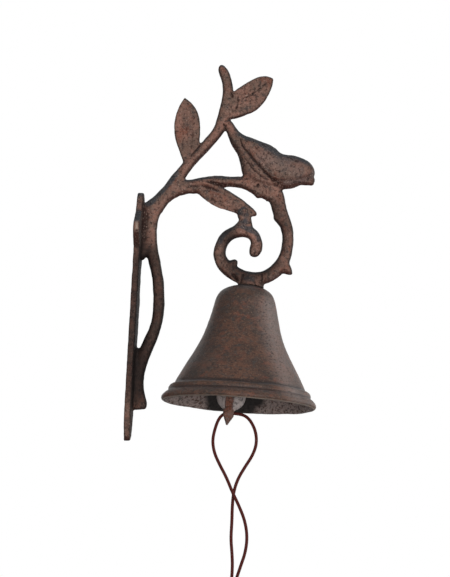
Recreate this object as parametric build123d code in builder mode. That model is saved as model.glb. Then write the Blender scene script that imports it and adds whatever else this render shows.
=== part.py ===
from build123d import *
from math import acos, cos, degrees, radians, sin, tan
import os

os.makedirs("parts", exist_ok=True)

# A cast-iron wall bell. X points out from the wall, Y runs along the wall and Z points up.
# The origin is the middle of the wall plate's back face. All sizes are in millimetres.

# Wall plate
plate_length = 175.5
plate_width = 22.0
plate_thickness = 4.5
plate_tip_radius = 6.0
plate_taper = 19.0  # length of each tapering end
plate_edge_round = 1.2
ear_height = 59.5  # of the two ears' holes, above the plate's middle
ear_spacing = 29.0  # between the ears' holes
ear_radius = 7.2
ear_flare = 25.0  # length of plate over which the ears spread
screw_hole_radius = 2.4
foot_hole_inset = 13.0  # of the lower hole, from the plate's bottom end

# Branch, as cast
stem_depth = 8.4  # across the casting, along Y
leaf_depth = 4.6
leaf_edge_round = 1.4
bird_depth = 17.0

# Bell
bell_reach = 79.4  # from the wall to the bolt's eye on the bell's axis
bell_lean = 1.0  # degrees of the bell's axis from plumb, its top outward
crown_height = 24.4  # of the bell's top, above the plate's middle
bell_height = 84.0
mouth_radius = 54.0
shoulder_radius = 21.1
shoulder_drop = 12.4  # from the bell's top to its shoulder
rim_band_height = 12.5  # of the two moulded bands together
rim_band_depth = 7.4  # from the rim's widest circle in to the flare
bell_wall = 3.6
lip_width = 4.6
lip_round = 1.2
crown_thickness = 4.5
seat_gap = 0.15  # between the boss's foot and the bell's crown

# Boss
boss_offset = -0.3  # of the scroll's drawing line from the bolt's eye
foot_offset = 3.1  # of the boss's foot, outward of the bolt's eye

# Bolt, washer and nut under the crown
bolt_radius = 2.5
bolt_engagement = 7.0  # of the shank in the boss
hole_clearance = 0.25  # round the shank in the crown and the boss
thread_clearance = 0.05  # round the shank in the nut
washer_radius = 7.0
washer_thickness = 1.2
nut_across_flats = 8.0
nut_height = 4.0
eye_wire_radius = 1.5
eye_hole_radius = 3.2
eye_neck = 0.6  # between the nut and the eye's ring

# Hook and clapper
swing_gap = 0.3  # between links that turn on each other
hook_wire_radius = 1.25
hook_hole_radius = 3.4  # inside each loop of the hook
hook_waist = 0.7  # between the two loops
hook_turn = 285.0  # degrees of each loop
clapper_lean = 6.1  # degrees from plumb, its foot towards the wall
rod_radius = 3.2
rod_shoulder = 4.0  # length over which the rod widens below its eye
bob_radius = 10.15
bob_above_mouth = 5.6  # the bob's middle, when plumb
band_width = 5.6
band_rise = 0.7
band_round = 0.6
lug_thickness = 7.3
lug_width = 10.0
lug_drop = 20.0  # from the bob's middle to the lug's tip
cord_hole_drop = 11.9  # from the bob's middle
cord_hole_radius = 2.2

# Pull cord
cord_radius = 1.1
cord_end_gap = 0.4  # between the cord's ends and its knot
knot_top = -178.5
knot_middle = 81.0  # from the wall
knot_radius = 4.1
knot_height = 9.0
knot_round = 2.6
lug_fold = 2.4  # radius of the cord where it folds over the lug
tail_length = 14.0
tail_spread = 9.0  # degrees from plumb

# Levels worked out from the sizes above
mouth_level = crown_height - bell_height
shoulder_level = crown_height - shoulder_drop
band_level = mouth_level + rim_band_height
crown_underside = crown_height - crown_thickness
nut_underside = crown_underside - washer_thickness - nut_height
eye_ring_radius = eye_hole_radius + eye_wire_radius
eye_level = nut_underside - eye_neck - eye_wire_radius - eye_ring_radius

# Drops below the bolt's eye, along the hanging clapper
hook_ring_radius = hook_hole_radius + hook_wire_radius
link_reach = hook_ring_radius - hook_wire_radius - swing_gap - eye_wire_radius + eye_ring_radius
upper_loop_drop = link_reach
lower_loop_drop = upper_loop_drop + 2 * hook_ring_radius + hook_waist
clapper_eye_drop = lower_loop_drop + link_reach
bob_drop = eye_level - mouth_level - bob_above_mouth


# Points of the drawing
def by_plate(out, up):
    """A point measured out from the plate's front face and up from its middle."""
    return (plate_thickness + out, up)


def by_boss(out, up):
    """A point measured out from the boss's drawing line and up from the bell's crown."""
    return (bell_reach + boss_offset + out, crown_height + up)


def between(share, up):
    """A point a share of the way from the plate's front to the bolt's eye, and up from the plate's middle."""
    return (plate_thickness + share * (bell_reach - plate_thickness), up)


def limb(stations, depth):
    """A round-sided stretch of the casting: a loft of ovals, each a point and its width there."""
    with BuildLine(Plane.XZ):
        run = Spline(*[point for point, width in stations])
    with BuildPart() as stretch:
        for (x, z), width in stations:
            centre = Vector(x, 0, z)
            with BuildSketch(Plane(origin=centre, x_dir=(0, 1, 0), z_dir=run.tangent_at(centre))):
                Ellipse(min(depth, 1.15 * width) / 2, width / 2)
        loft()
    return stretch.part


def leaf(one_side, other_side):
    """A flat leaf: the outline between two splines from its root to its tip, with rounded edges."""
    with BuildPart() as blade:
        with BuildSketch(Plane.XZ):
            with BuildLine():
                Spline(*one_side)
                Spline(*other_side)
                Line(one_side[0], other_side[0])
            make_face()
        extrude(amount=leaf_depth / 2, both=True)
        fillet(blade.edges().filter_by(GeomType.BSPLINE), leaf_edge_round)
    return blade.part


# Main stem, from the plate up to the branch's tip
main_stem = limb(
    [
        (by_plate(-1.0, 70.0), 12.0),
        (by_plate(5.5, 77.0), 11.5),
        (by_plate(11.6, 82.2), 12.0),
        (by_plate(18.2, 90.4), 11.2),
        (by_plate(23.9, 100.4), 8.8),
        (by_plate(30.4, 109.9), 7.5),
        (by_plate(41.9, 124.0), 7.6),
        (by_plate(48.6, 132.4), 7.6),
        (by_plate(52.1, 141.0), 8.3),
        (by_plate(54.3, 151.0), 8.5),
        (by_plate(55.2, 160.5), 7.7),
        (by_plate(54.4, 169.4), 7.2),
        (by_plate(51.9, 176.8), 7.0),
        (by_plate(49.5, 180.9), 4.8),
        (by_plate(48.6, 182.1), 1.6),
    ],
    stem_depth,
)

# Bowed lower stem, from the main stem down to its foot on the plate
lower_stem = limb(
    [
        (by_plate(5.6, 73.5), 10.6),
        (by_plate(5.8, 64.0), 9.3),
        (by_plate(6.2, 54.0), 8.8),
        (by_plate(8.9, 42.0), 8.4),
        (by_plate(12.0, 30.0), 8.0),
        (by_plate(14.0, 16.0), 7.9),
        (by_plate(14.3, 2.0), 7.9),
        (by_plate(12.4, -10.0), 7.8),
        (by_plate(8.3, -21.0), 9.0),
        (by_plate(4.9, -31.0), 8.8),
        (by_plate(3.5, -41.0), 7.8),
        (by_plate(3.3, -51.0), 8.2),
        (by_plate(4.4, -60.0), 10.6),
        (by_plate(5.2, -65.2), 8.5),
    ],
    stem_depth,
)

# Pad between the plate and the stems, as long as the ears
stem_pad = limb(
    [
        (by_plate(-0.5, 79.0), 3.0),
        (by_plate(0.5, 72.0), 6.5),
        (by_plate(0.8, 60.0), 8.5),
        (by_plate(0.9, 47.0), 8.2),
        (by_plate(0.3, 38.5), 2.5),
    ],
    stem_depth,
)

# Web between the plate and the lower stem's foot
foot_web = limb(
    [
        (by_plate(0.4, -22.0), 2.5),
        (by_plate(0.8, -30.0), 6.0),
        (by_plate(0.8, -44.0), 7.0),
        (by_plate(0.5, -57.0), 6.0),
        (by_plate(-0.3, -66.0), 3.0),
    ],
    stem_depth,
)

# Arm, from the main stem to the ground under the bird
arm = limb(
    [
        (by_plate(22.0, 92.6), 9.0),
        (by_plate(31.5, 93.2), 10.6),
        (between(0.529, 95.4), 9.8),
        (between(0.637, 97.7), 8.2),
        (by_boss(-19.1, 73.8), 7.6),
        (by_boss(-9.1, 73.7), 7.8),
        (by_boss(-0.1, 72.4), 10.1),
        (by_boss(8.5, 68.6), 11.3),
        (by_boss(14.9, 63.6), 9.0),
    ],
    stem_depth,
)

# Hanging leaf under the arm
hanging_leaf = limb(
    [
        (between(0.476, 92.0), 6.0),
        (between(0.583, 90.8), 11.4),
        (by_boss(-22.1, 62.6), 14.4),
        (by_boss(-14.1, 59.2), 13.4),
        (by_boss(-5.9, 55.4), 10.6),
        (by_boss(0.9, 52.5), 6.6),
        (by_boss(5.1, 50.8), 1.6),
    ],
    leaf_depth,
)

# Neck, from the hanging leaf down to the inner curl
neck = limb(
    [
        (by_boss(-5.1, 54.0), 9.0),
        (by_boss(-3.1, 46.6), 9.8),
        (by_boss(-2.8, 39.6), 12.3),
    ],
    stem_depth,
)

# Scroll, from the bird round under itself to the end of the inner curl
scroll = limb(
    [
        (by_boss(12.9, 71.6), 13.0),
        (by_boss(18.2, 63.4), 12.0),
        (by_boss(21.3, 54.4), 10.3),
        (by_boss(24.3, 47.2), 9.8),
        (by_boss(27.6, 38.6), 8.3),
        (by_boss(27.9, 30.6), 8.1),
        (by_boss(26.7, 22.4), 8.6),
        (by_boss(22.6, 14.2), 9.4),
        (by_boss(14.4, 7.2), 9.4),
        (by_boss(5.4, 5.1), 9.6),
        (by_boss(-3.7, 6.4), 10.2),
        (by_boss(-11.1, 10.2), 10.2),
        (by_boss(-17.2, 16.0), 9.4),
        (by_boss(-19.4, 22.6), 8.8),
        (by_boss(-17.7, 30.2), 8.4),
        (by_boss(-12.9, 36.1), 8.4),
        (by_boss(-4.6, 38.6), 8.2),
        (by_boss(3.1, 36.5), 8.3),
        (by_boss(6.2, 29.9), 8.5),
        (by_boss(5.3, 24.9), 8.4),
        (by_boss(4.3, 22.2), 6.2),
        (by_boss(3.9, 20.9), 2.4),
    ],
    stem_depth,
)

# Thorn on the scroll's outer side
thorn = limb(
    [
        (by_boss(25.0, 16.4), 9.0),
        (by_boss(28.6, 12.3), 6.8),
        (by_boss(32.0, 9.5), 1.4),
    ],
    stem_depth,
)

# Nub on the scroll's inner side
nub = limb(
    [
        (by_boss(-11.9, 12.8), 8.2),
        (by_boss(-9.3, 15.6), 6.0),
        (by_boss(-7.6, 17.8), 2.2),
    ],
    stem_depth,
)

# Upright leaf on the left of the main stem
upright_leaf = leaf(
    [
        by_plate(26.0, 103.0),
        by_plate(25.3, 113.6),
        by_plate(21.5, 121.9),
        by_plate(18.9, 132.7),
        by_plate(19.0, 143.7),
        by_plate(24.9, 157.5),
    ],
    [
        by_plate(35.0, 112.0),
        by_plate(36.9, 124.6),
        by_plate(36.9, 136.5),
        by_plate(35.3, 145.1),
        by_plate(24.9, 157.5),
    ],
)

# Outward leaf on the right of the main stem
outward_leaf = leaf(
    [
        by_plate(54.0, 158.0),
        by_plate(59.3, 162.9),
        by_plate(66.9, 169.1),
        by_plate(74.9, 173.9),
        by_plate(81.5, 175.5),
        by_plate(87.0, 173.9),
    ],
    [
        by_plate(54.5, 142.9),
        by_plate(61.9, 144.2),
        by_plate(69.3, 147.0),
        by_plate(76.7, 151.3),
        by_plate(82.0, 158.0),
        by_plate(85.7, 165.9),
        by_plate(87.0, 173.9),
    ],
)

# Bird: body from its tail, which grows into the branch, to its brow
bird_body = limb(
    [
        (by_plate(55.0, 140.0), 8.0),
        (between(0.808, 132.8), 8.6),
        (by_boss(-9.4, 102.7), 12.2),
        (by_boss(-1.5, 96.3), 20.6),
        (by_boss(5.6, 88.2), 30.1),
        (by_boss(16.7, 82.9), 27.6),
        (by_boss(26.5, 82.5), 24.2),
        (by_boss(33.4, 82.9), 20.5),
        (by_boss(38.2, 81.8), 15.6),
        (by_boss(41.3, 79.9), 10.2),
        (by_boss(42.7, 78.7), 4.0),
    ],
    bird_depth,
)

# Bird's short bill, turned down
bill = limb(
    [
        (by_boss(37.9, 80.5), 9.2),
        (by_boss(41.3, 76.6), 6.6),
        (by_boss(43.6, 73.6), 1.6),
    ],
    bird_depth / 2,
)

# Bird's folded wings: one lens wider than the body, so that it stands proud on both sides
wings = limb(
    [
        (by_boss(-7.5, 104.6), 3.5),
        (by_boss(0.1, 98.6), 13.0),
        (by_boss(9.5, 90.6), 18.0),
        (by_boss(18.9, 82.8), 15.0),
        (by_boss(23.7, 77.4), 4.5),
    ],
    1.12 * bird_depth,
)

# Boss's foot: flares down to the bell's crown
with BuildPart() as boss_foot:
    for rise, half_length, half_depth in [(-2.5, 9.9, 6.6), (2.0, 8.9, 5.8), (8.0, 8.0, 4.0)]:
        with BuildSketch(Plane.XY.offset(crown_height + rise)):
            with Locations((bell_reach + foot_offset, 0)):
                Ellipse(half_length, half_depth)
    loft()

# Wall plate: a tapering strip with two ears beside the branch
with BuildPart() as plate:
    with BuildSketch(Plane.YZ):
        Rectangle(plate_width, plate_length - 2 * plate_taper)
        with Locations((0, plate_length / 2 - plate_tip_radius), (0, plate_tip_radius - plate_length / 2)):
            Circle(plate_tip_radius)
        make_hull()
    extrude(amount=plate_thickness)
    with BuildSketch(Plane.YZ):
        with Locations((0, ear_height)):
            Rectangle(plate_width, ear_flare)
        with Locations((-ear_spacing / 2, ear_height), (ear_spacing / 2, ear_height)):
            Circle(ear_radius)
        make_hull()
    extrude(amount=plate_thickness)
    fillet(plate.faces().sort_by(Axis.X)[-1].edges(), plate_edge_round)

# Bell's axis, which leans outward at its top and passes through the bolt's eye
bell_up = Vector(sin(radians(bell_lean)), 0, cos(radians(bell_lean)))
bell_out = Vector(cos(radians(bell_lean)), 0, -sin(radians(bell_lean)))


def on_axis(level):
    """The point of the bell's axis at that level."""
    return Vector(bell_reach, 0, eye_level) + bell_up * (level - eye_level)


def across_axis(level):
    """The plane square to the bell's axis at that level."""
    return Plane(origin=on_axis(level), x_dir=bell_out, z_dir=bell_up)


bell_section = Plane(origin=on_axis(0), x_dir=bell_out, z_dir=(0, -1, 0))
bell_axis = Axis(on_axis(0), bell_up)


def rim(share_in, share_up):
    """A point of the rim's bands, in from its widest circle and up from its edge."""
    return (mouth_radius - share_in * rim_band_depth, mouth_level + share_up * rim_band_height)


def flare(share_out, share_up):
    """A point of the bell's flare, between its shoulder and its rim bands."""
    flare_end = mouth_radius - rim_band_depth
    return (
        shoulder_radius + share_out * (flare_end - shoulder_radius),
        band_level + share_up * (shoulder_level - band_level),
    )


# Bell's outline: the rim's lower and upper band, the flare and the crown
lower_band = [rim(0.19, 0.0), rim(0.0, 0.136), rim(0.095, 0.28), rim(0.284, 0.432), rim(0.568, 0.56)]
upper_band = [rim(0.568, 0.56), rim(0.595, 0.744), rim(0.757, 0.904), rim(1.0, 1.0)]
flare_line = [
    rim(1.0, 1.0),
    flare(0.765, 0.165),
    flare(0.483, 0.373),
    flare(0.263, 0.582),
    flare(0.114, 0.79),
]
crown_line = [
    (shoulder_radius, shoulder_level),
    (0.95 * shoulder_radius, crown_height - 0.734 * shoulder_drop),
    (0.81 * shoulder_radius, crown_height - 0.355 * shoulder_drop),
    (0.66 * shoulder_radius, crown_height - 0.177 * shoulder_drop),
    (0.45 * shoulder_radius, crown_height - 0.056 * shoulder_drop),
    (0.0, crown_height),
]
lip = (mouth_radius - lip_width, mouth_level)
flare_foot_slope = (-0.5, 1)
shoulder_slope = (-0.275, 1)

# Bracket: one casting, its boss cut to the bell's crown
seat_line = [(radius, level + seat_gap) for radius, level in crown_line]
with BuildPart() as bracket:
    add(plate.part)
    add([main_stem, lower_stem, stem_pad, foot_web, arm, hanging_leaf, neck, scroll, thorn, nub])
    add([upright_leaf, outward_leaf, bird_body, bill, wings, boss_foot.part])
    split(bisect_by=Plane.YZ, keep=Keep.TOP)
    with BuildSketch(Plane.YZ):
        with Locations(
            (-ear_spacing / 2, ear_height),
            (ear_spacing / 2, ear_height),
            (0, foot_hole_inset - plate_length / 2),
        ):
            Circle(screw_hole_radius)
    extrude(amount=plate_thickness, mode=Mode.SUBTRACT)
    with BuildSketch(bell_section):
        with BuildLine():
            Spline(*seat_line, tangents=[shoulder_slope, (-1, 0)])
            Line(seat_line[-1], (0, shoulder_level + seat_gap))
            Line((0, shoulder_level + seat_gap), seat_line[0])
        make_face()
    revolve(axis=bell_axis, mode=Mode.SUBTRACT)
    with BuildSketch(across_axis(crown_height)):
        Circle(bolt_radius + hole_clearance)
    extrude(amount=bolt_engagement + hole_clearance, mode=Mode.SUBTRACT)
bracket.part.label = "bracket"
export_step(bracket.part, "parts/bracket.step")

# Bell: one casting
crown_bore = bolt_radius + hole_clearance
crown_flat = washer_radius + 1.5
inner_shoulder = (shoulder_radius - bell_wall, shoulder_level)
inner_flare = [(radius - 1.13 * bell_wall, level) for radius, level in reversed(flare_line)]
with BuildPart() as bell:
    with BuildSketch(bell_section):
        with BuildLine():
            Line(lip, lower_band[0])
            Spline(*lower_band)
            Spline(*upper_band)
            Spline(*flare_line, crown_line[0], tangents=[flare_foot_slope, shoulder_slope])
            Spline(*crown_line, tangents=[shoulder_slope, (-1, 0)])
            Line((0, crown_height), (0, crown_underside))
            Line((0, crown_underside), (crown_flat, crown_underside))
            Spline(
                (crown_flat, crown_underside),
                (crown_flat + 1.1 * bell_wall, crown_underside - 0.3 * bell_wall),
                (shoulder_radius - 1.5 * bell_wall, crown_underside - bell_wall),
                inner_shoulder,
                tangents=[(1, 0), (0.275, -1)],
            )
            Spline(inner_shoulder, *inner_flare, lip, tangents=[(0.275, -1), (0.6, -1)])
        make_face()
    revolve(axis=bell_axis)
    with BuildSketch(across_axis(crown_underside)):
        Circle(crown_bore)
    extrude(amount=crown_thickness, mode=Mode.SUBTRACT)
    fillet(bell.edges().group_by(Axis.Z)[0].sort_by(SortBy.RADIUS)[0], lip_round)
bell.part.label = "bell"
export_step(bell.part, "parts/bell.step")

# Washer under the bell's crown
with BuildPart() as crown_washer:
    with BuildSketch(across_axis(crown_underside - washer_thickness)):
        Circle(washer_radius)
        Circle(crown_bore, mode=Mode.SUBTRACT)
    extrude(amount=washer_thickness)
crown_washer.part.label = "crown_washer"
export_step(crown_washer.part, "parts/crown_washer.step")

# Nut that pinches the bell up against the boss
with BuildPart() as crown_nut:
    with BuildSketch(across_axis(nut_underside)):
        RegularPolygon(nut_across_flats / 2, 6, major_radius=False)
        Circle(bolt_radius + thread_clearance, mode=Mode.SUBTRACT)
    extrude(amount=nut_height)
crown_nut.part.label = "crown_nut"
export_step(crown_nut.part, "parts/crown_nut.step")

# Eye bolt: its shank goes up through nut, washer and crown into the boss
with BuildPart() as eye_bolt:
    with BuildSketch(across_axis(nut_underside)):
        Circle(bolt_radius)
    extrude(amount=crown_height + bolt_engagement - nut_underside)
    with BuildSketch(across_axis(eye_level + eye_ring_radius)):
        Circle(0.8 * eye_wire_radius)
    with BuildSketch(across_axis(nut_underside)):
        Circle(bolt_radius)
    loft()
    with Locations(Location(on_axis(eye_level), (90, 0, 0))):
        Torus(eye_ring_radius, eye_wire_radius)
eye_bolt.part.label = "eye_bolt"
export_step(eye_bolt.part, "parts/eye_bolt.step")

# Line of the hanging clapper
plumb_up = Vector(sin(radians(clapper_lean)), 0, cos(radians(clapper_lean)))
across = Vector(cos(radians(clapper_lean)), 0, -sin(radians(clapper_lean)))


def down_line(drop):
    """A point on the hanging clapper's middle line, that far below the bolt's eye."""
    return on_axis(eye_level) - plumb_up * drop


# Hook: a wire bent to an S, between the bolt's eye and the clapper's
loop_rise = (lower_loop_drop - upper_loop_drop) / 2
waist_tilt = degrees(acos(hook_ring_radius / loop_rise))
with BuildPart() as clapper_hook:
    waist = down_line((upper_loop_drop + lower_loop_drop) / 2)
    with BuildLine(Plane(origin=waist, x_dir=(0, 1, 0), z_dir=across)):
        upper_loop = CenterArc((0, loop_rise), hook_ring_radius, waist_tilt - 90, hook_turn)
        lower_loop = CenterArc((0, -loop_rise), hook_ring_radius, waist_tilt + 90, hook_turn)
        Line(upper_loop @ 0, lower_loop @ 0)
    with BuildSketch(Plane(origin=upper_loop @ 1, z_dir=upper_loop % 1)):
        Circle(hook_wire_radius)
    sweep()
clapper_hook.part.label = "clapper_hook"
export_step(clapper_hook.part, "parts/clapper_hook.step")

# Clapper: one casting, with an eye, a rod, a banded bob and a lug for the cord
with BuildPart() as clapper:
    with BuildSketch(Plane(origin=down_line(bob_drop), x_dir=across, z_dir=(0, -1, 0))):
        Circle(bob_radius)
        RectangleRounded(band_width, 2 * (bob_radius + band_rise), band_round)
        Rectangle(3 * bob_radius, 2 * bob_radius, align=(Align.CENTER, Align.MAX), mode=Mode.SUBTRACT)
    revolve(axis=Axis(down_line(bob_drop), across))
    with Locations(Location(down_line(clapper_eye_drop), (90, 0, 0))):
        Torus(eye_ring_radius, eye_wire_radius)
    rod_top = clapper_eye_drop + eye_ring_radius
    rod_sections = [
        (rod_top, 0.8 * eye_wire_radius),
        (rod_top + rod_shoulder, 0.85 * rod_radius),
        (bob_drop, rod_radius),
    ]
    for drop, radius in rod_sections:
        with BuildSketch(Plane(origin=down_line(drop), x_dir=across, z_dir=-plumb_up)):
            Circle(radius)
    loft(ruled=True)
    for share, thick, wide in [(0.45, 1.0, 1.0), (0.68, 1.0, 1.0), (0.87, 0.74, 0.82), (1.0, 0.36, 0.44)]:
        with BuildSketch(Plane(origin=down_line(bob_drop + share * lug_drop), x_dir=across, z_dir=-plumb_up)):
            RectangleRounded(thick * lug_thickness, wide * lug_width, 0.3 * thick * lug_thickness)
    loft()
    with BuildSketch(Plane(origin=down_line(bob_drop + cord_hole_drop), x_dir=(0, 1, 0), z_dir=across)):
        Circle(cord_hole_radius)
    extrude(amount=lug_thickness, both=True, mode=Mode.SUBTRACT)
clapper.part.label = "clapper"
export_step(clapper.part, "parts/clapper.step")

# Pull cord: from its knot up one strand, through the clapper's lug and down the other
cord_end = knot_top + cord_end_gap
route = [
    (82.7, -0.3, cord_end),
    (84.9, -0.9, -170.4),
    (88.0, -1.5, -160.2),
    (88.7, -1.8, -149.4),
    (86.5, -1.8, -138.8),
    (81.9, -1.8, -128.8),
    (76.8, -1.8, -119.5),
    (72.3, -1.4, -109.7),
    (66.9, -0.8, -100.8),
    (62.4, -0.3, -91.8),
    (61.2, 0.0, -81.6),
    (66.0, 0.0, -65.4),
    (76.7, 0.0, -65.3),
    (84.5, 0.0, -66.7),
    (90.3, 0.0, -74.9),
    (92.2, 0.2, -84.4),
    (89.9, 0.6, -93.2),
    (84.7, 1.1, -101.8),
    (79.9, 1.5, -110.7),
    (77.5, 1.8, -120.1),
    (77.2, 1.8, -130.2),
    (77.5, 1.6, -140.6),
    (77.3, 1.2, -151.4),
    (78.7, 0.8, -161.6),
    (79.5, 0.4, -171.0),
    (79.3, 0.3, cord_end),
]
corners = [Vector(*point) for point in route]
bends = []
for before, corner, after in zip(corners, corners[1:], corners[2:]):
    turn = (corner - before).get_angle(after - corner)
    bend = 0.45 * min((corner - before).length, (after - corner).length) / tan(radians(turn / 2))
    bends.append(bend)
# The cord folds tightly where it comes out of the lug
bends[10] = lug_fold
print("cord bends", [round(bend, 1) for bend in bends])
with BuildPart() as pull_cord:
    with BuildLine():
        cord_line = FilletPolyline(*corners, radius=bends)
    with BuildSketch(Plane(origin=cord_line @ 0, z_dir=cord_line % 0)):
        Circle(cord_radius)
    sweep()
pull_cord.part.label = "pull_cord"
export_step(pull_cord.part, "parts/pull_cord.step")

# Knot that closes the cord's loop, with its two tails
with BuildPart() as cord_knot:
    with BuildSketch(Plane.XY.offset(knot_top - knot_height)):
        with Locations((knot_middle, 0)):
            Circle(knot_radius)
    extrude(amount=knot_height)
    fillet(cord_knot.edges().filter_by(GeomType.CIRCLE).sort_by(Axis.Z)[0], knot_round)
    for side in (-1, 1):
        with BuildSketch(Plane(
            origin=(knot_middle + side * cord_radius, 0, knot_top - knot_height / 2),
            z_dir=(side * sin(radians(tail_spread)), 0, -cos(radians(tail_spread))),
        )):
            Circle(cord_radius)
        extrude(amount=knot_height / 2 + tail_length)
cord_knot.part.label = "cord_knot"
export_step(cord_knot.part, "parts/cord_knot.step")
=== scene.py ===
import math

import bmesh
import bpy
import numpy as np
from mathutils import Matrix, Vector, noise


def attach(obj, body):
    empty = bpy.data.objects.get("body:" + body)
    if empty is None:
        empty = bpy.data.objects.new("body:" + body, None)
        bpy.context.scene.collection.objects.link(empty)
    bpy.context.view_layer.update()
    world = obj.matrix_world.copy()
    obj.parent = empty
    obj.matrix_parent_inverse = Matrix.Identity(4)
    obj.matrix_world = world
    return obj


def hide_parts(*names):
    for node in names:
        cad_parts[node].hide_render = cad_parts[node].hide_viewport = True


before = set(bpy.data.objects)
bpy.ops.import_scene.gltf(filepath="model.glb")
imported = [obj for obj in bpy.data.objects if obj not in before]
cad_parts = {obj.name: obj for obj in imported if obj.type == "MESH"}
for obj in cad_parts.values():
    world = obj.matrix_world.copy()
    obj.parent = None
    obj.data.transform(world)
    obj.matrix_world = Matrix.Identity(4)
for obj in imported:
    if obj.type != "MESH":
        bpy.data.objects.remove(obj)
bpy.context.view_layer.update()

# Bracket: one sand casting in iron, with its wall plate, branch, leaves, bird, scroll and boss.
# The sand leaves a fine grain with pale rubbed grains, and edges are softly rounded. Over the dark
# rust-brown lies painted light: a blue-grey painted sheen on what looks up, and red-brown painted
# shade in the hollows, underneath and round the parting line.


def srgb(code):
    """The linear colour of an sRGB hex value."""
    parts = [int(code[i:i + 2], 16) / 255 for i in (1, 3, 5)]
    return [c / 12.92 if c <= 0.04045 else ((c + 0.055) / 1.055) ** 2.4 for c in parts] + [1.0]


def add_node(tree, kind, settings=None, inputs=None):
    """Adds a node, sets its properties and its inputs, and links those inputs that are sockets."""
    node = tree.nodes.new(kind)
    for key, value in (settings or {}).items():
        setattr(node, key, value)
    for key, value in (inputs or {}).items():
        if isinstance(value, bpy.types.NodeSocket):
            tree.links.new(value, node.inputs[key])
        else:
            node.inputs[key].default_value = value
    return node


def put(name, data):
    """A new object in the scene, at the origin."""
    piece = bpy.data.objects.new(name, data)
    bpy.context.scene.collection.objects.link(piece)
    return piece


def settle(piece):
    """Makes what the modifiers give the piece's own mesh, and takes them away."""
    graph = bpy.context.evaluated_depsgraph_get()
    mesh = bpy.data.meshes.new_from_object(piece.evaluated_get(graph))
    piece.modifiers.clear()
    piece.data = mesh
    mesh.name = piece.name


weld = 1e-6  # corners closer than this, in metres, are one


def casting_skin(node_name, name, voxel_mm, rounds):
    """A closed, even, softened copy of a CAD casting's mesh, ready to be worked on."""
    bm = bmesh.new()
    bm.from_mesh(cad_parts[node_name].data)
    bmesh.ops.remove_doubles(bm, verts=bm.verts, dist=weld)
    mesh = bpy.data.meshes.new(name)
    bm.to_mesh(mesh)
    bm.free()
    piece = put(name, mesh)
    remesh = piece.modifiers.new("voxels", "REMESH")
    remesh.mode = "VOXEL"
    remesh.voxel_size = voxel_mm / 1000
    smooth = piece.modifiers.new("soften", "SMOOTH")
    smooth.factor = 0.5
    smooth.iterations = rounds
    settle(piece)
    piece.data.materials.clear()
    return piece


def read_points(piece):
    """The vertices of a mesh and their normals, in millimetres, as arrays."""
    mesh = piece.data
    points = np.empty(3 * len(mesh.vertices))
    mesh.vertices.foreach_get("co", points)
    normals = np.empty(3 * len(mesh.vertices))
    mesh.vertices.foreach_get("normal", normals)
    return points.reshape(-1, 3) * 1000, normals.reshape(-1, 3)


def write_points(piece, points):
    """Puts moved vertices, in millimetres, back into the mesh."""
    piece.data.vertices.foreach_set("co", (points / 1000).ravel())
    piece.data.update()
    piece.data.shade_smooth()


def roughen(points, normals, waves):
    """Moves the skin along its normals by noises, each a (wavelength, height, seed), in mm."""
    for length, height, seed in waves:
        shift = [noise.noise(Vector(p) / length + Vector((seed, 0, 0))) for p in points]
        points += normals * height * np.array(shift)[:, None]


def press(points, normals, path, width, depth):
    """Sinks both sides of the casting along a line of (x, z) points, most at its middle stretch."""
    path = np.array(path)
    lengths = np.linalg.norm(path[1:] - path[:-1], axis=1)
    starts = np.concatenate([[0], np.cumsum(lengths)[:-1]])
    near = np.full(len(points), np.inf)
    share = np.zeros(len(points))
    flat = points[:, [0, 2]]
    for a, b, length, start in zip(path[:-1], path[1:], lengths, starts):
        t = np.clip((flat - a) @ (b - a) / length ** 2, 0, 1)
        away = np.linalg.norm(flat - a - t[:, None] * (b - a), axis=1)
        closer = away < near
        near[closer] = away[closer]
        share[closer] = (start + t[closer] * length) / lengths.sum()
    end_depth, rise = 0.35, 5  # share of the depth at the line's ends, and how soon it is full
    fade = np.clip(end_depth + rise * np.minimum(share, 1 - share), 0, 1)
    facing = np.clip(1.7 * np.abs(normals[:, 1]) - 0.25, 0, 1)  # none on the narrow sides
    points[:, 1] -= np.sign(points[:, 1]) * depth * fade * facing * np.exp(-(near / width) ** 2)


def averager(piece):
    """A function that moves values on the vertices half way to the mean of their neighbours."""
    edges = np.empty(2 * len(piece.data.edges), dtype=int)
    piece.data.edges.foreach_get("vertices", edges)
    a, b = edges.reshape(-1, 2).T
    total = len(piece.data.vertices)
    count = np.bincount(a, minlength=total) + np.bincount(b, minlength=total)

    def average(values):
        sums = np.array([
            np.bincount(a, weights=v[b], minlength=total)
            + np.bincount(b, weights=v[a], minlength=total)
            for v in values.T
        ])
        return 0.5 * values + 0.5 * sums.T / count[:, None]

    return average


def fill_corners(piece, rounds):
    """Rounds the inner corners as the sand's fillets do, and leaves the outer ones."""
    average = averager(piece)
    for _ in range(rounds):
        points, normals = read_points(piece)
        softened = average(average(average(points)))
        sunk = np.clip(np.sum((softened - points) * normals, axis=1), 0, 1)
        write_points(piece, points + normals * sunk[:, None])


def near_line(points, path):
    """How far each point is from a line of points, all in millimetres."""
    path = np.array(path, dtype=float)
    near = np.full(len(points), np.inf)
    for a, b in zip(path[:-1], path[1:]):
        t = np.clip((points - a) @ (b - a) / ((b - a) @ (b - a)), 0, 1)
        near = np.minimum(near, np.linalg.norm(points - a - t[:, None] * (b - a), axis=1))
    return near


def stroke(points, path, width):
    """1 along a line of points and less and less away from it."""
    return np.exp(-(near_line(points, path) / width) ** 2)


def pull(points, centre, reach, shift):
    """Draws the skin near a point along, all in millimetres."""
    away = np.linalg.norm((points - centre) * (1, 0.5, 1), axis=1)
    points += np.exp(-(away / reach) ** 2)[:, None] * np.array(shift)


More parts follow.
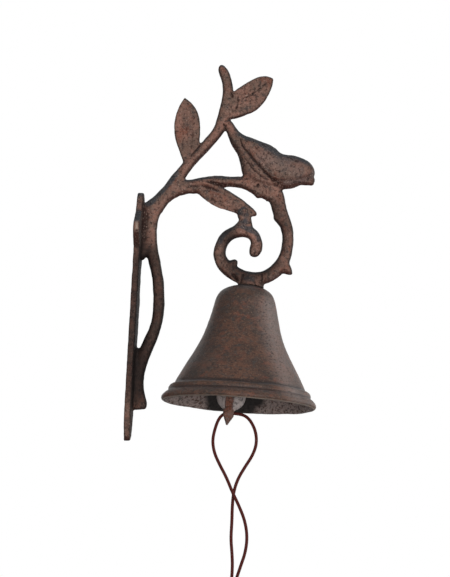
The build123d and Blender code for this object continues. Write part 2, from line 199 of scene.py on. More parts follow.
def mark_light_and_wear(piece, sides, painted_shade_lines=(), spots=(), painted_sheen_lines=(), dust_and_light=None):
    """Stores on each vertex its painted light: painted shade as far as it turns to the parting line
    (red), painted shade as far as it lies hollow (green) and, by how it looks up, a painted sky
    sheen above and painted shade below (blue); and in a second layer the painted shade, near black
    (red), rusted (green), bare (blue) and dusty (alpha) places, where the bell's room side also
    takes a painted light. Sides is
    the share of the first: a flat casting has it, a round one has not. The painted shade lines
    count as hollow, and the painted sheen lines as looking up."""
    full_hollow = 0.22  # mm below the mean of what lies round it
    points, normals = read_points(piece)
    average = averager(piece)
    softened = points
    for _ in range(14):
        softened = average(softened)
    sunk = np.sum((softened - points) * normals, axis=1)[:, None]
    edge = 1 - np.abs(normals[:, 1:2])
    for _ in range(2):
        sunk = average(sunk)
        edge = average(edge)
    spread = edge
    for _ in range(12):
        spread = average(spread)
    edge = np.maximum(edge, 1.25 * spread)
    painted_light = np.ones((len(points), 4))
    painted_light[:, 0] = sides * edge[:, 0]
    painted_light[:, 1] = np.clip(sunk[:, 0] / full_hollow, 0, 1)
    painted_light[:, 2] = 0.5 + (0.25 + 0.25 * sides) * normals[:, 2]
    for path, width, strength in painted_shade_lines:
        painted_light[:, 1] += strength * stroke(points, path, width)
    for path, width, strength in painted_sheen_lines:
        painted_light[:, 2] += strength * stroke(points, path, width)
    marks = np.zeros((len(points), 4))
    for path, width, channel, strength in spots:
        mark = strength * stroke(points, path, width)
        marks[:, channel] = np.maximum(marks[:, channel], mark)
    if dust_and_light is not None:
        marks[:, 3] = dust_and_light
    for name, values in (("painted_light", painted_light), ("marks", marks)):
        layer = piece.data.color_attributes.new(name, "FLOAT_COLOR", "POINT")
        layer.data.foreach_set("color", np.clip(values, 0, 1).ravel())


bracket = casting_skin("bracket", "bracket_casting", 0.64, 3)
fill_corners(bracket, 14)
points, normals = read_points(bracket)
for centre, reach, shift in [
    # the breast runs flat into the bill
    ((116.6, 0, 100.2), 3.2, (0, 0, -1.9)),
    ((113.4, 0, 98.6), 2.4, (0, 0, -0.5)),
    ((122.6, 0, 101.6), 2.0, (0.7, 0, 0)),
    # the stem bends into the arm in one round arch
    ((29.5, 0, 89.2), 4.5, (0.9, 0, -1.8)),
    ((14.8, 0, 73.9), 5.0, (0.6, 0, -0.3)),
    ((21.9, 0, 80.6), 4.5, (-0.8, 0, 0.8)),
    ((16.6, 0, 73.9), 2.2, (0.5, 0, -0.3)),
    ((28.2, 0, 87.3), 2.2, (0.3, 0, -0.5)),
    ((35.0, 0, 88.6), 4.0, (0, 0, 0.8)),
    # the neck is waisted
    ((71.0, 0, 66.5), 2.5, (-0.8, 0, 0.8)),
    ((71.9, 0, 71.0), 2.0, (0.9, 0, 0)),
    # step inside the scroll, underside of the ground and the stem's fork
    ((98.6, 0, 73.2), 2.2, (-1.5, 0, -0.2)),
    ((101.8, 0, 67.5), 2.0, (1.0, 0, 0.0)),
    ((84.8, 0, 89.0), 2.4, (-0.6, 0, -1.4)),
    ((4.0, 0, 38.2), 3.0, (-0.8, 0, 1.6)),
]:
    pull(points, centre, reach, shift)
for path, width, depth in [
    # wing's lower edge, the quills above it and the down below
    ([
        (70.5, 128.0), (72.2, 123.2), (76.6, 117.7), (80.5, 113.1),
        (84.9, 109.0), (88.8, 104.9), (92.6, 101.3), (98.3, 97.3),
    ], 0.75, 1.7),
    ([(73.4, 125.6), (76.6, 119.4), (82.0, 112.6)], 0.5, 0.7),
    ([(75.6, 125.8), (80.0, 119.0), (85.5, 113.0)], 0.45, 0.5),
    ([(78.6, 126.0), (83.7, 119.6), (88.5, 114.5)], 0.45, 0.5),
    ([(82.0, 124.6), (87.0, 118.8)], 0.45, 0.4),
    ([(83.8, 116.0), (88.0, 110.5), (92.5, 105.6), (96.0, 102.3)], 0.8, 0.35),
    ([
        (72.0, 117.5), (76.5, 111.5), (80.3, 106.5), (85.2, 102.3), (90.7, 99.4), (95.5, 98.3),
    ], 0.8, 0.6),
    # pocks and claws below it
    ([(83.7, 109.0), (84.3, 108.4)], 0.8, 0.9),
    ([(88.0, 104.7), (88.6, 104.1)], 0.8, 1.1),
    ([(91.4, 102.0), (92.0, 101.4)], 0.8, 1.2),
    ([(92.4, 100.4), (94.6, 98.2), (96.4, 95.4)], 0.6, 0.8),
    ([(95.2, 99.6), (95.8, 98.8)], 0.7, 1.2),
    ([(96.0, 100.6), (98.0, 98.4), (99.6, 96.2)], 0.6, 0.8),
    ([(99.0, 97.6), (99.6, 97.0)], 0.8, 1.2),
    ([(97.6, 96.2), (98.2, 95.6)], 0.7, 1.1),
    ([(100.9, 93.4), (101.3, 92.6)], 0.7, 1.0),
    ([(102.5, 99.5), (104.6, 98.0)], 0.6, 0.5),
    ([(106.5, 100.6), (108.8, 99.0)], 0.6, 0.5),
    # bill's parting line and the eye's ring
    ([(116.4, 99.6), (118.8, 100.7), (121.6, 100.2)], 0.6, 0.4),
    ([
        (118.7, 107.5), (119.6, 108.9), (121.0, 108.3),
        (121.1, 106.8), (120.0, 106.0), (118.9, 106.7),
    ], 0.5, 0.6),
    # pit in the ground under the bird
    ([(84.0, 95.4), (84.7, 95.2)], 0.9, 2.2),
    # root of the tail on the branch
    ([(57.8, 139.4), (59.1, 136.6), (60.1, 134.2)], 0.9, 0.9),
    # upright leaf: dished on each side of its midrib, with a crease at its root
    ([(28.6, 148.0), (29.3, 138.0), (29.6, 128.0), (30.6, 118.0)], 2.2, 0.45),
    ([(34.6, 146.0), (36.0, 138.0), (36.4, 128.0), (35.6, 118.0)], 2.0, 0.45),
    ([(32.6, 119.0), (32.8, 128.0), (32.4, 138.0), (30.6, 149.0)], 0.6, 0.4),
    ([(43.2, 124.2), (40.6, 120.9), (37.7, 116.8), (35.2, 111.9)], 1.0, 0.8),
    # outward leaf: its root, a fold and a dent
    ([(67.3, 160.6), (67.6, 156.0), (67.0, 152.9), (65.9, 149.4)], 0.9, 0.5),
    ([(72.6, 163.5), (73.9, 165.6), (76.1, 168.9), (79.4, 171.7)], 1.0, 0.35),
    ([(71.0, 158.0), (76.0, 160.5), (81.5, 165.0), (86.0, 170.5)], 2.6, 0.4),
    ([(66.5, 156.5), (72.0, 158.6), (79.0, 163.0), (87.5, 171.0)], 0.6, 0.4),
    ([(70.5, 158.2), (73.0, 162.2), (76.5, 165.8)], 0.5, 0.3),
    ([(76.5, 161.5), (79.5, 166.0), (83.5, 170.0)], 0.5, 0.3),
    ([(70.0, 157.6), (74.5, 156.6), (79.0, 157.6)], 0.5, 0.3),
    ([(76.5, 161.3), (80.5, 161.2), (85.0, 162.8)], 0.5, 0.3),
    ([(62.5, 162.5), (62.9, 161.0), (63.6, 158.6)], 0.9, 0.9),
    # arm: a hollow over and under its middle rib
    ([(33.0, 92.0), (38.0, 93.2), (45.0, 93.6), (52.0, 92.2), (59.1, 90.3)], 1.1, 0.9),
    ([(36.0, 97.6), (44.0, 99.8), (56.0, 100.6), (68.0, 100.4), (76.0, 99.6)], 1.2, 0.5),
    ([(47.0, 97.4), (51.7, 96.4), (55.7, 95.3), (60.5, 93.9)], 1.0, 1.1),
    # hanging leaf: its lower half falls away from the rib
    ([(49.0, 86.6), (55.0, 83.4), (62.0, 80.0), (68.5, 77.8), (75.0, 75.4)], 2.6, 1.4),
    ([(58.5, 90.4), (64.0, 87.4), (70.0, 83.8), (76.0, 79.8)], 1.0, 0.4),
    # neck, curl's end and the pit beside the boss
    ([(72.4, 70.2), (76.5, 71.2), (80.6, 70.4)], 1.8, 0.4),
    ([(84.0, 47.2), (85.0, 46.2)], 1.2, 0.9),
    ([(69.6, 31.2), (71.2, 29.3), (73.2, 27.0)], 1.5, 1.8),
    ([(75.3, 24.6), (76.0, 28.4), (77.6, 33.0)], 1.2, 0.9),
    ([(89.9, 24.8), (90.8, 29.3), (89.7, 33.6)], 1.3, 0.8),
]:
    press(points, normals, path, width, depth)
roughen(points, normals, [(9.0, 0.35, 3.0), (2.6, 0.14, 11.0)])
points[:, 0] = np.maximum(points[:, 0], 0)  # the plate's back is flat on the wall
write_points(bracket, points)
mark_light_and_wear(
    bracket,
    sides=1.0,
    painted_shade_lines=[
        # painted shade between plate and stem, on both sides
        ([(6.0, -9.0, 44.0), (7.0, -7.0, 60.0), (7.0, -7.0, 78.0)], 3.2, 1.0),
        ([(6.0, 9.0, 44.0), (7.0, 7.0, 60.0), (7.0, 7.0, 78.0)], 3.2, 1.0),
        # painted shade under the outward leaf and in the slit over the hanging leaf
        ([(62.5, -2.5, 142.6), (69.0, -2.5, 144.4), (76.0, -2.5, 147.6)], 1.6, 1.0),
        ([(51, -3.5, 96.6), (58, -3.5, 94.4), (66, -4, 94.6), (74, -4, 94)], 1.5, 0.9),
        # painted shade on the ground under the bird
        ([(78, -7, 98), (86, -8, 98.5), (95, -8.5, 96), (99, -8, 92)], 2.6, 0.45),
        ([(72.0, -4.0, 107.0), (73.0, -4.5, 101.0)], 2.0, 0.6),
    ],
    painted_sheen_lines=[
        # painted blue-grey sheen on facets: hanging leaf's lower half, branch, neck, scroll, boss
        # and the bird's back
        ([(45.2, -3, 84.5), (55.4, -3, 81.5), (64.4, -3, 79.9), (72.3, -3, 76.8)], 2.8, 0.38),
        ([(8.9, -4, 79.3), (15.1, -4, 86.9), (21.4, -4, 93.9), (26.6, -4, 101.0)], 2.6, 0.28),
        ([(77.6, -4, 74.0), (76.3, -4, 69.5), (75.5, -4, 65.7), (79.3, -4, 64.0)], 3.0, 0.28),
        ([(65.5, -4, 63.4), (62.0, -4, 58.6), (60.4, -4, 53.9)], 2.6, 0.3),
        ([(80.3, -4, 63.1), (85.0, -4, 60.5), (86.6, -4, 55.8)], 2.4, 0.24),
        ([(78.3, -5, 29.2), (83.8, -5, 28.5)], 2.0, 0.22),
        ([(86.6, -6, 123.4), (93.9, -6, 121.1), (99.1, -6, 117.1)], 2.0, 0.18),
    ],
    spots=[
        # painted shade, near black (channel 0), in pits and creases, under the bird's claws and on
        # the hanging leaf's lower half, then over plate, stem and scroll
        ([(69.6, -4, 31), (73, -4, 27.4)], 1.9, 0, 1.0),
        ([(84.2, -7, 95.3), (84.6, -7, 95.2)], 1.0, 0, 1.0),
        ([(88, -8, 104.5), (93, -8, 100.5), (98, -8, 97), (101, -8, 93)], 1.5, 0, 0.5),
        ([
            (49, -2, 86), (55, -2, 82.8), (62, -2, 79.4), (68.5, -2, 77.2), (74, -2, 75.4),
        ], 2.2, 0, 0.5),
        ([(62.6, -4, 162.4), (63.6, -4, 158.4)], 1.1, 0, 1.0),
        ([(43.4, -4, 124.6), (39.5, -4, 119.2)], 1.0, 0, 1.0),
        ([(91.4, -8, 102), (95.5, -8, 99.1), (99.3, -8, 97.3)], 1.0, 0, 0.7),
        ([(4.7, 0, 36), (4.7, 0, -50)], 22.0, 0, 0.82),
        ([(13, 0, 44), (19.5, 0, 12), (17, 0, -14), (9, 0, -38)], 8.0, 0, 0.8),
        ([(66, 0, 60), (68, 0, 38), (82, 0, 29), (98, 0, 40)], 9.0, 0, 0.76),
        ([(103, 0, 50), (103, 0, 66), (97, 0, 82)], 8.0, 0, 0.68),
        # orange rust (channel 1), and a knock on the ear (channel 2)
        ([(3.2, -20, 50), (3.5, -19, 45.6)], 3.0, 1, 0.8),
        ([(36, -4, 97), (46, -4, 95.4), (54, -3.5, 93)], 2.2, 1, 0.35),
        ([(74, -6, 99), (80, -7, 96.5)], 3.5, 1, 0.35),
        ([(49.3, -4, 93), (56.1, -4, 89.8), (64.1, -4, 86.7), (71, -4, 82.5)], 2.2, 1, 0.35),
        ([(102.9, -4, 71.5), (100.3, -4, 68.6)], 2.2, 1, 0.4),
        ([(2.3, -21.7, 64.4), (2.6, -21.7, 58.4)], 1.5, 2, 0.62),
        # light dust (channel 3) on the bird's body, belly and bill, and under the scroll
        ([(88, -8, 115), (112, -8, 107)], 8.0, 3, 0.42),
        ([(104.2, -7, 96.8), (111.2, -7, 98), (120.5, -6, 100.2)], 3.0, 3, 0.6),
        ([(120.2, -4, 111.1), (123.1, -4, 103.9)], 2.0, 3, 0.5),
        ([(94.8, -4, 27.2), (102, -4, 32.2)], 2.0, 3, 0.55),
    ],
)


def new_material(name, values):
    """A material whose shader has these values on its inputs."""
    material = bpy.data.materials.new(name)
    material.use_nodes = True
    shader = material.node_tree.nodes["Principled BSDF"]
    for key, value in values.items():
        shader.inputs[key].default_value = value
    return material


def layer_over(tree, base, colour, mask, low, high, most):
    """Lays a colour over the base where the mask runs from low to high, up to a share of it."""
    span = add_node(tree, "ShaderNodeMapRange", {"interpolation_type": "SMOOTHSTEP"}, {
        "Value": mask, "From Min": low, "From Max": high, "To Min": 0.0, "To Max": most,
    })
    mix = add_node(tree, "ShaderNodeMix", {"data_type": "RGBA"}, {0: span.outputs["Result"]})
    mix.inputs[7].default_value = srgb(colour)
    if isinstance(base, bpy.types.NodeSocket):
        tree.links.new(base, mix.inputs[6])
    else:
        mix.inputs[6].default_value = srgb(base)
    return mix.outputs[2]


def rusted_iron(name, umber, rust, glint, dust_and_light, streak, roughness, gloss):
    """Sand-cast iron: umber and rust in blotches and fine specks, with painted light over it:
    painted shade, near black, in the marked places, dark in the hollows and round the parting line,
    a blue-grey painted sheen where it looks up and red-brown painted shade underneath."""
    material = new_material(name, {"Roughness": roughness, "Specular IOR Level": gloss})
    tree = material.node_tree
    shader = tree.nodes["Principled BSDF"]
    drawn_out = add_node(tree, "ShaderNodeVectorMath", {"operation": "MULTIPLY"}, {
        0: add_node(tree, "ShaderNodeTexCoord").outputs["Object"], 1: (1.0, 1.0, streak),
    }).outputs["Vector"]
    painted_light = add_node(tree, "ShaderNodeAttribute", {"attribute_name": "painted_light"}).outputs
    painted_light_parts = add_node(tree, "ShaderNodeSeparateColor", inputs={"Color": painted_light["Color"]}).outputs
    marks = add_node(tree, "ShaderNodeAttribute", {"attribute_name": "marks"}).outputs
    marked = add_node(tree, "ShaderNodeSeparateColor", inputs={"Color": marks["Color"]}).outputs
    # how many swells each noise has to the metre, and its octaves
    swells = [(60.0, 4.0), (240.0, 6.0), (95.0, 4.0), (900.0, 4.0), (480.0, 6.0)]
    blotches, clouds, rust_clouds, glints, sand = [
        add_node(tree, "ShaderNodeTexNoise", {"noise_dimensions": "4D"}, {
            "Vector": drawn_out, "W": seed, "Scale": scale, "Detail": detail, "Roughness": 0.7,
        }).outputs["Fac"]
        for seed, (scale, detail) in enumerate(swells)
    ]
    colour = umber
    for over, mask, low, high, most in [
        (rust, blotches, 0.36, 0.64, 1.0),
        ("#2f3334", clouds, 0.50, 0.64, 0.65),
        ("#74402e", rust_clouds, 0.52, 0.68, 0.55),
        ("#19120f", painted_light_parts["Red"], 0.10, 0.64, 0.9),  # painted shade: darker round to the parting line
        ("#363c41", painted_light_parts["Blue"], 0.60, 0.84, 0.85),  # blue-grey where the sky falls on it
        ("#40211a", painted_light_parts["Blue"], 0.40, 0.14, 0.8),  # painted shade: red-brown underneath
        ("#24110c", painted_light_parts["Green"], 0.1, 0.8, 0.9),  # painted shade: dark in the hollows
        # dust, and on the bell's room side a painted light
        (dust_and_light, marks["Alpha"], 0.1, 0.9, 0.85),
        ("#7d4328", marked["Green"], 0.1, 0.9, 0.6),  # orange rust
        ("#15100f", sand, 0.52, 0.36, 0.8),  # black between the grains
        (glint, glints, 0.52, 0.70, 0.6),  # grains rubbed light
        ("#0d0807", marked["Red"], 0.15, 0.85, 0.94),  # painted shade, near black
        ("#b3a899", marked["Blue"], 0.2, 1.0, 0.9),  # bare iron
    ]:
        colour = layer_over(tree, colour, over, mask, low, high, most)
    tree.links.new(colour, shader.inputs["Base Color"])
    bump = add_node(tree, "ShaderNodeBump", inputs={
        "Height": sand, "Strength": 0.7, "Distance": 0.0006,
    })
    tree.links.new(bump.outputs["Normal"], shader.inputs["Normal"])
    return material


# A warm, quite matt rust-brown with pale rubbed grains.
cast_iron = rusted_iron(
    "rust_brown_sand_cast_iron", umber="#685349", rust="#8a6457", glint="#a48c80",
    dust_and_light="#85736f", streak=1.0, roughness=0.75, gloss=0.18,
)
bracket.data.materials.append(cast_iron)
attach(bracket, "frame")
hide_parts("bracket")

# Bell: one casting in the same iron, turned smooth outside with two moulded bands at its rim
# and left rough from the core inside. Its bolt pinches it up under the boss, so that it hangs
# a degree out of plumb.
lean = math.radians(1.0)
bell_up = Vector((math.sin(lean), 0, math.cos(lean)))
bell_out = Vector((bell_up.z, 0, -bell_up.x))
bolt_eye = Vector((79.4, 0, 7.9))  # the middle of the bolt's eye, round which the bell leans
section = [  # distance from the axis and level, from the lip up the outside and down the inside
    (50.6, -59.55), (51.6, -59.75), (52.7, -59.6), (53.6, -58.9), (54.0, -57.9), (53.85, -56.9),
    (53.3, -56.0), (52.5, -55.0), (51.6, -54.0), (50.7, -53.3), (49.5, -52.9), (49.1, -52.4),
    (49.6, -51.7), (49.75, -50.7), (49.4, -49.7), (48.9, -48.9), (48.1, -48.4), (47.0, -48.2),
    (46.0, -48.0), (45.6, -47.2), (44.9, -45.3), (43.2, -42.0), (40.6, -37.35), (36.8, -30.9),
    (33.42, -25.06), (30.3, -18.7), (27.8, -12.7), (25.7, -6.6), (24.0, -0.4), (22.5, 5.8),
    (21.2, 11.5), (20.3, 14.8), (19.0, 17.7), (17.1, 20.0), (14.0, 22.15), (9.5, 23.7),
    (5.0, 24.3), (2.75, 24.4), (2.75, 19.9), (8.5, 19.9), (12.4, 18.9), (15.4, 16.6),
    (17.3, 12.6), (18.5, 6.5), (19.9, -0.4), (21.6, -6.6), (23.7, -12.7), (26.3, -18.7),
    (29.4, -25.1), (32.8, -30.9), (36.5, -37.3), (42.5, -47.1), (46.4, -53.3), (49.0, -57.8),
    (49.6, -59.0),
]
stride = 1.1  # mm between the points of the finer section
fine_section = []
for (r0, z0), (r1, z1) in zip(section, section[1:] + section[:1]):
    steps = max(1, round(math.dist((r0, z0), (r1, z1)) / stride))
    fine_section += [
        (r0 + (r1 - r0) * k / steps, z0 + (z1 - z0) * k / steps) for k in range(steps)
    ]
fine_section = np.array(fine_section)
for _ in range(2):
    beside = np.roll(fine_section, 1, axis=0) + np.roll(fine_section, -1, axis=0)
    fine_section = 0.5 * fine_section + 0.25 * beside


def body_tree(name, sizes):
    """An empty Geometry Nodes tree with a geometry in, a geometry out and named sizes."""
    tree = bpy.data.node_groups.new(name, "GeometryNodeTree")
    tree.interface.new_socket("Geometry", in_out="INPUT", socket_type="NodeSocketGeometry")
    for key, (kind, value) in sizes.items():
        tree.interface.new_socket(key, in_out="INPUT", socket_type=kind).default_value = value
    tree.interface.new_socket("Geometry", in_out="OUTPUT", socket_type="NodeSocketGeometry")
    return tree, add_node(tree, "NodeGroupInput").outputs


def close_tree(tree, geometry, material):
    """Ends the tree with real meshes in the piece's material."""
    real = add_node(tree, "GeometryNodeRealizeInstances", inputs={"Geometry": geometry})
    dressed = add_node(tree, "GeometryNodeSetMaterial", inputs={
        "Geometry": real.outputs["Geometry"], "Material": material,
    })
    add_node(tree, "NodeGroupOutput", inputs={"Geometry": dressed.outputs["Geometry"]})


def grow(tree, name, points, edges):
    """Runs the tree on a wire of points, in millimetres, and returns the plain mesh object."""
    wire = bpy.data.meshes.new(name)
    wire.from_pydata([tuple(c / 1000 for c in p) for p in points], edges, [])
    piece = put(name, wire)
    piece.modifiers.new("grow", "NODES").node_group = tree
    settle(piece)
    return piece


# Darker and a little glossier than the bracket, with its grain drawn out round the bell.
bell_iron = rusted_iron(
    "umber_sand_cast_bell_iron", umber="#34261f", rust="#573a2d", glint="#86705f",
    dust_and_light="#95847f", streak=1.7, roughness=0.5, gloss=0.28,
)
# The pattern-maker's lathe: the section is carried round a circle about the bell's axis.
turning = 30.0
lathe, lathe_sizes = body_tree("bell_lathe", {
    "Turning Radius": ("NodeSocketFloat", turning / 1000),
    "Steps Round": ("NodeSocketInt", 300),
})
profile = add_node(lathe, "GeometryNodeMeshToCurve", inputs={"Mesh": lathe_sizes["Geometry"]})
circle = add_node(lathe, "GeometryNodeCurvePrimitiveCircle", inputs={
    "Resolution": lathe_sizes["Steps Round"], "Radius": lathe_sizes["Turning Radius"],
})
turned = add_node(lathe, "GeometryNodeCurveToMesh", inputs={
    "Curve": circle.outputs["Curve"], "Profile Curve": profile.outputs["Curve"],
})
close_tree(lathe, turned.outputs["Mesh"], bell_iron)
corners = len(fine_section)
bell = grow(
    lathe, "bell_casting", [(r - turning, -level, 0) for r, level in fine_section],
    [(k, (k + 1) % corners) for k in range(corners)],
)
bm = bmesh.new()
bm.from_mesh(bell.data)
bmesh.ops.remove_doubles(bm, verts=bm.verts, dist=weld)
bmesh.ops.recalc_face_normals(bm, faces=bm.faces)
bm.to_mesh(bell.data)
bm.free()


def on_bell(x, y, level):
    """The place of a point given along the bell's own axes, in millimetres."""
    return bolt_eye + bell_out * x + Vector((0, y, 0)) + bell_up * (level - bolt_eye.z)


turned_points, normals = read_points(bell)
write_points(bell, np.array([on_bell(x, y, z) for x, y, z in turned_points]))
points, normals = read_points(bell)
from_axis = np.linalg.norm(turned_points[:, :2], axis=1)
outward = np.sum(normals[:, :2] * turned_points[:, :2], axis=1) / from_axis
over_rim = turned_points[:, 2] > -50
inside = (outward < -0.1) | ((normals[:, 2] < -0.5) & over_rim)
roughen(points, normals, [(16.0, 0.45, 5.0), (3.0, 0.1, 7.0)])
# the core left pits, 1.5 mm across, all over the inside
pitted = np.clip(np.array([noise.noise(Vector(p) / 1.5) for p in points]) - 0.05, 0, 1)
points[inside] += (normals * pitted[:, None] * 1.1)[inside]
write_points(bell, points)


def spot_at(angle, radius, level):
    """A point on the bell, by its angle round the axis from the side away from the wall."""
    a = math.radians(angle)
    return on_bell(radius * math.cos(a), radius * math.sin(a), level)


def hoop(radius, level, start=0.0, end=360.0):
    """Points round the bell's axis at a level."""
    return [spot_at(start + (end - start) * k / 60, radius, level) for k in range(61)]


# Painted shade, near black, lies in the lines between the bands and round the boss's seat, the lip
# is rubbed, painted shade makes the side towards the wall darker and redder, painted light makes
# the side towards the room grey, and the core's side is grey with dust.
wall_side = [spot_at(222, 22.0, 8.0), spot_at(222, 30.0, -20.0), spot_at(222, 46.0, -50.0)]
room_side = [spot_at(318, 22.0, 8.0), spot_at(318, 31.0, -20.0), spot_at(318, 52.0, -50.0)]
mark_light_and_wear(
    bell,
    sides=0.0,
    # painted shade, darker and redder, on the side towards the wall
    painted_shade_lines=[(wall_side, 15.0, 0.36)],
    spots=[
        # painted shade, near black: both lines, the seat, the wall side and a painted shadow behind
        # the bob
        (hoop(46.6, -47.3), 1.2, 0, 0.8),
        (hoop(49.2, -52.4), 0.7, 0, 0.6),
        (hoop(11.0, 23.3), 5.5, 0, 0.7),
        ([spot_at(228, 21.0, 14.0)] + wall_side[1:], 15.0, 0, 0.36),
        (hoop(47.6, -56.0, 86, 112) + hoop(43.6, -50.0, 116, 78), 7.5, 0, 1.2),
        # rust on the bands, and the rubbed lip
        (hoop(50.6, -50.9), 1.4, 1, 0.32),
        (hoop(54.6, -56.6), 2.0, 1, 0.32),
        (hoop(52.8, -59.4), 1.0, 2, 0.62),
    ],
    # dust inside the bell, kept out of the pits; outside, a grey painted light on the side towards
    # the room
    dust_and_light=np.where(inside, 1.0 - 3.0 * pitted, 0.46 * stroke(points, room_side, 14.0)),
)
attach(bell, "frame")
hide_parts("bell")

# Eye bolt, crown washer, crown nut and clapper hook: bought and bent steel parts, zinc-plated
# and gone dull. The bolt screws into the boss and clamps the bell, all out of sight under the
# crown, so the solids' own shapes are only given their material.
steel = new_material("dull_zinc_plated_steel", {
    "Base Color": srgb("#6d675f"), "Metallic": 0.8, "Roughness": 0.5,
})
for name in ("eye_bolt", "crown_washer", "crown_nut", "clapper_hook"):
    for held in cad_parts[name].material_slots:
        held.material = steel

# Clapper: one iron casting, with an eye that hangs in the hook, a rod, a round bob with a raised
# band round it and a lug with a hole for the cord below. The bob is dusty grey, the band has red
# rust on it, and the lug's hole is darkened with painted shade.
clapper = casting_skin("clapper", "clapper_casting", 0.36, 4)
bob = Vector((72.82, 0, -53.65))
hang = math.radians(6.1)
rod = Vector((math.sin(hang), 0, math.cos(hang)))
lug_hole, lug_top, taper_length = 11.9, 13.5, 10.0  # down the rod from the bob's middle
taper = 0.6  # the share of its width that the lug loses at its tip
band_radius, rust_width, rust_share = 10.7, 2.4, 0.75
dust_reach, dust_fade = 11.5, 1.5  # from the bob's middle, and how soon it ends
points, normals = read_points(clapper)
drop = -(points - bob) @ rod
off_rod = (points - bob) + drop[:, None] * rod
points -= off_rod * np.clip((drop - lug_top) / taper_length, 0, taper)[:, None]
roughen(points, normals, [(5.0, 0.2, 2.0), (1.6, 0.08, 9.0)])
write_points(clapper, points)
points, normals = read_points(clapper)
band = [
    bob + rod * (band_radius * math.cos(k / 6)) + Vector((0, band_radius * math.sin(k / 6), 0))
    for k in range(39)
]
hole = [bob - rod * lug_hole + Vector((0, y, 0)) for y in (-2, 2)]
from_bob = np.linalg.norm(points - bob, axis=1)
on_bob = np.clip((dust_reach - from_bob) / dust_fade, 0, 1)
rusty = rust_share * stroke(points, band, rust_width)
mark_light_and_wear(
    clapper,
    sides=0.0,
    # rust on the band, and painted shade, near black, in the lug's hole
    spots=[(band, rust_width, 1, rust_share), (hole, 3.0, 0, 0.7)],
    dust_and_light=0.9 * on_bob * (1 - rusty),
)
bob_iron = rusted_iron(
    "dusty_sand_cast_clapper_iron", umber="#5f4a42", rust="#6d4b3f", glint="#9a8e8a",
    dust_and_light="#b6aba8", streak=1.0, roughness=0.55, gloss=0.3,
)
clapper.data.materials.append(bob_iron)
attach(clapper, "clapper")
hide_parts("clapper")

# Pull cord: a limp dark red-brown cord, looped through the clapper's lug and closed by a knot
# that hangs below the photograph's edge.
cord_radius = 0.0011
route = [  # from the knot up one strand, through the lug and down the other, in millimetres
    (82.7, -0.3, -178.1),
    (84.9, -0.9, -170.4),
    (88.0, -1.5, -160.2),
    (88.7, -1.8, -149.4),
    (86.5, -1.8, -138.8),
    (81.9, -1.8, -128.8),
    (76.8, -1.8, -119.5),
    (72.3, -1.4, -109.7),
    (66.9, -0.8, -100.8),
    (62.4, -0.3, -91.8),
    (61.2, 0.0, -81.6),
    (66.0, 0.0, -65.4),
    (76.7, 0.0, -65.3),
    (84.5, 0.0, -66.7),
    (90.3, 0.0, -74.9),
    (92.2, 0.2, -84.4),
    (89.9, 0.6, -93.2),
    (84.7, 1.1, -101.8),
    (79.9, 1.5, -110.7),
    (77.5, 1.8, -120.1),
    (77.2, 1.8, -130.2),
    (77.5, 1.6, -140.6),
    (77.3, 1.2, -151.4),
    (78.7, 0.8, -161.6),
    (79.5, 0.4, -171.0),
    (79.3, 0.3, -178.1),
]
line = bpy.data.curves.new("pull_cord_loop", "CURVE")
line.dimensions = "3D"
spline = line.splines.new("NURBS")
spline.points.add(len(route) - 1)
for point, (x, y, z) in zip(spline.points, route):
    point.co = (x / 1000, y / 1000, z / 1000, 1)
spline.order_u = 3
spline.use_endpoint_u = True
spline.resolution_u = 12
line.bevel_depth = cord_radius
line.bevel_resolution = 5
line.use_fill_caps = True
cord = put("pull_cord_loop", line)
cord_fibre = new_material("twisted_red_brown_cord", {
    "Base Color": srgb("#4a1a15"), "Roughness": 0.7, "Specular IOR Level": 0.15,
})
fibre_tree = cord_fibre.node_tree
fibres = add_node(fibre_tree, "ShaderNodeTexNoise", inputs={
    "Vector": add_node(fibre_tree, "ShaderNodeTexCoord").outputs["Object"],
    "Scale": 1400.0, "Detail": 3.0, "Roughness": 0.7,
})
twist = add_node(fibre_tree, "ShaderNodeBump", inputs={
    "Height": fibres.outputs["Fac"], "Strength": 0.8, "Distance": 0.0004,
})
fibre_tree.links.new(twist.outputs["Normal"], fibre_tree.nodes["Principled BSDF"].inputs["Normal"])
line.materials.append(cord_fibre)

# Knot: one end is wrapped four times round both strands and drawn through, which leaves two
# short tails. It is tied in the same cord, so it is the same round section along its turns.
tying, knot_sizes = body_tree("wrapped_knot", {
    "Cord Radius": ("NodeSocketFloat", cord_radius), "Turns": ("NodeSocketFloat", 4.0),
    "Wrap Radius": ("NodeSocketFloat", 0.0030), "Wrap Height": ("NodeSocketFloat", 0.0068),
    "Wrap Foot": ("NodeSocketVector", (0.0810, 0.0, -0.1864)),
})
strands = add_node(tying, "GeometryNodeMeshToCurve", inputs={"Mesh": knot_sizes["Geometry"]})
wrap = add_node(tying, "GeometryNodeCurveSpiral", inputs={
    "Resolution": 32, "Rotations": knot_sizes["Turns"], "Start Radius": knot_sizes["Wrap Radius"],
    "End Radius": knot_sizes["Wrap Radius"], "Height": knot_sizes["Wrap Height"],
})
seated = add_node(tying, "GeometryNodeTransform", inputs={
    "Geometry": wrap.outputs["Curve"], "Translation": knot_sizes["Wrap Foot"],
})
joined = add_node(tying, "GeometryNodeJoinGeometry")
for part in (strands.outputs["Curve"], seated.outputs["Geometry"]):
    tying.links.new(part, joined.inputs["Geometry"])
round_section = add_node(tying, "GeometryNodeCurvePrimitiveCircle", inputs={
    "Resolution": 14, "Radius": knot_sizes["Cord Radius"],
})
laid = add_node(tying, "GeometryNodeCurveToMesh", inputs={
    "Curve": joined.outputs["Geometry"], "Profile Curve": round_section.outputs["Curve"],
    "Fill Caps": True,
})
close_tree(tying, laid.outputs["Mesh"], cord_fibre)
tail_x, tail_top, tail_length, tail_steps = 81.0, -179.2, 22.0, 12
tails, ties = [], []
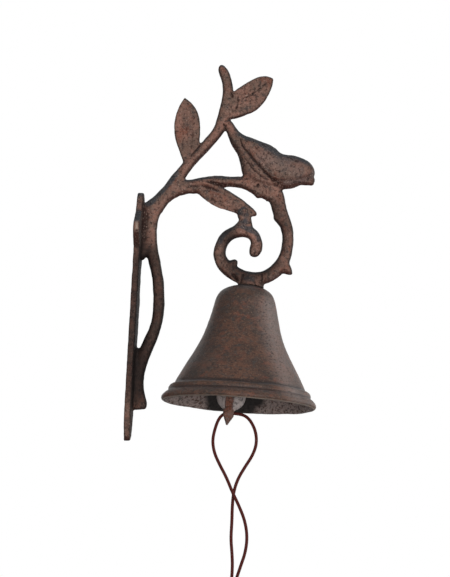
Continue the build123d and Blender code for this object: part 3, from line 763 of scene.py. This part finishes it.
for side, bend in ((-1, 0.5), (1, -0.4)):
    for k in range(tail_steps + 1):
        share = k / tail_steps
        if k:
            ties.append((len(tails) - 1, len(tails)))
        splay = side * (1.1 + 2.9 * share ** 1.4)
        sway = bend * math.sin(math.pi * share)
        tails.append((tail_x + splay, sway, tail_top - tail_length * share))
knot = grow(tying, "cord_knot_wraps", tails, ties)
knot.data.shade_smooth()
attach(knot, "clapper")
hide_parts("cord_knot")
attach(cord, "clapper")
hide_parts("pull_cord")

# Photographer's set: a white surround that lights the piece softly from all sides, a pale
# floor below it, and the camera a little under the bell, looking up.
world = bpy.data.worlds.new("white_surround")
bpy.context.scene.world = world
world.use_nodes = True
sky = world.node_tree
rays = add_node(sky, "ShaderNodeLightPath").outputs
seen = rays["Is Camera Ray"]
for ray in ("Is Glossy Ray", "Is Transmission Ray"):
    either = add_node(sky, "ShaderNodeMath", {"operation": "MAXIMUM"}, {0: seen, 1: rays[ray]})
    seen = either.outputs[0]
strength = add_node(sky, "ShaderNodeMapRange", inputs={
    "Value": seen, "To Min": 0.22, "To Max": 1.0,
})
background = sky.nodes["Background"]
background.inputs["Color"].default_value = (1, 1, 1, 1)
sky.links.new(strength.outputs["Result"], background.inputs["Strength"])

floor_place = Matrix.Translation((0.05, 0, -0.27))
bm = bmesh.new()
bmesh.ops.create_grid(bm, x_segments=1, y_segments=1, size=2.0, matrix=floor_place)
floor_mesh = bpy.data.meshes.new("pale_floor")
bm.to_mesh(floor_mesh)
bm.free()
floor = put("pale_floor", floor_mesh)
paper = new_material("pale_floor_paper", {
    "Base Color": (0.8, 0.8, 0.8, 1), "Roughness": 0.9, "Emission Color": (1, 1, 1, 1),
})
paper_tree = paper.node_tree
to_camera = add_node(paper_tree, "ShaderNodeLightPath").outputs["Is Camera Ray"]
glow = add_node(paper_tree, "ShaderNodeMath", {"operation": "MULTIPLY"}, {0: to_camera, 1: 0.72})
paper_tree.links.new(
    glow.outputs[0], paper_tree.nodes["Principled BSDF"].inputs["Emission Strength"],
)
floor_mesh.materials.append(paper)

lit_point = Vector((0.07, 0, 0.03))
for name, spot, size, power in [
    ("front_softbox", (0.35, -1.15, -0.12), 0.7, 14.0),
    ("side_softbox", (1.00, 0.35, 0.05), 0.6, 4.0),
]:
    lamp = bpy.data.lights.new(name, "AREA")
    lamp.energy = power
    lamp.size = size
    light = put(name, lamp)
    light.location = spot
    light.rotation_euler = (lit_point - Vector(spot)).to_track_quat("-Z", "Y").to_euler()

sight = Vector((-0.06026, 0.98530, 0.15988)).normalized()
sideways = sight.cross(Vector((0, 0, 1))).normalized()
above = sideways.cross(sight)
roll = math.radians(2.9)
right = math.cos(roll) * sideways + math.sin(roll) * above
upright = -math.sin(roll) * sideways + math.cos(roll) * above
view = bpy.data.cameras.new("camera")
view.lens = 36 * 2146.4 / 577  # the fitted focal length over the long side's pixels
camera = put("camera", view)
camera.matrix_world = Matrix((
    (right.x, upright.x, -sight.x, 0.1551),
    (right.y, upright.y, -sight.y, -1.4779),
    (right.z, upright.z, -sight.z, -0.2179),
    (0, 0, 0, 1),
))
bpy.context.scene.camera = camera
bpy.context.scene.view_settings.view_transform = "Standard"
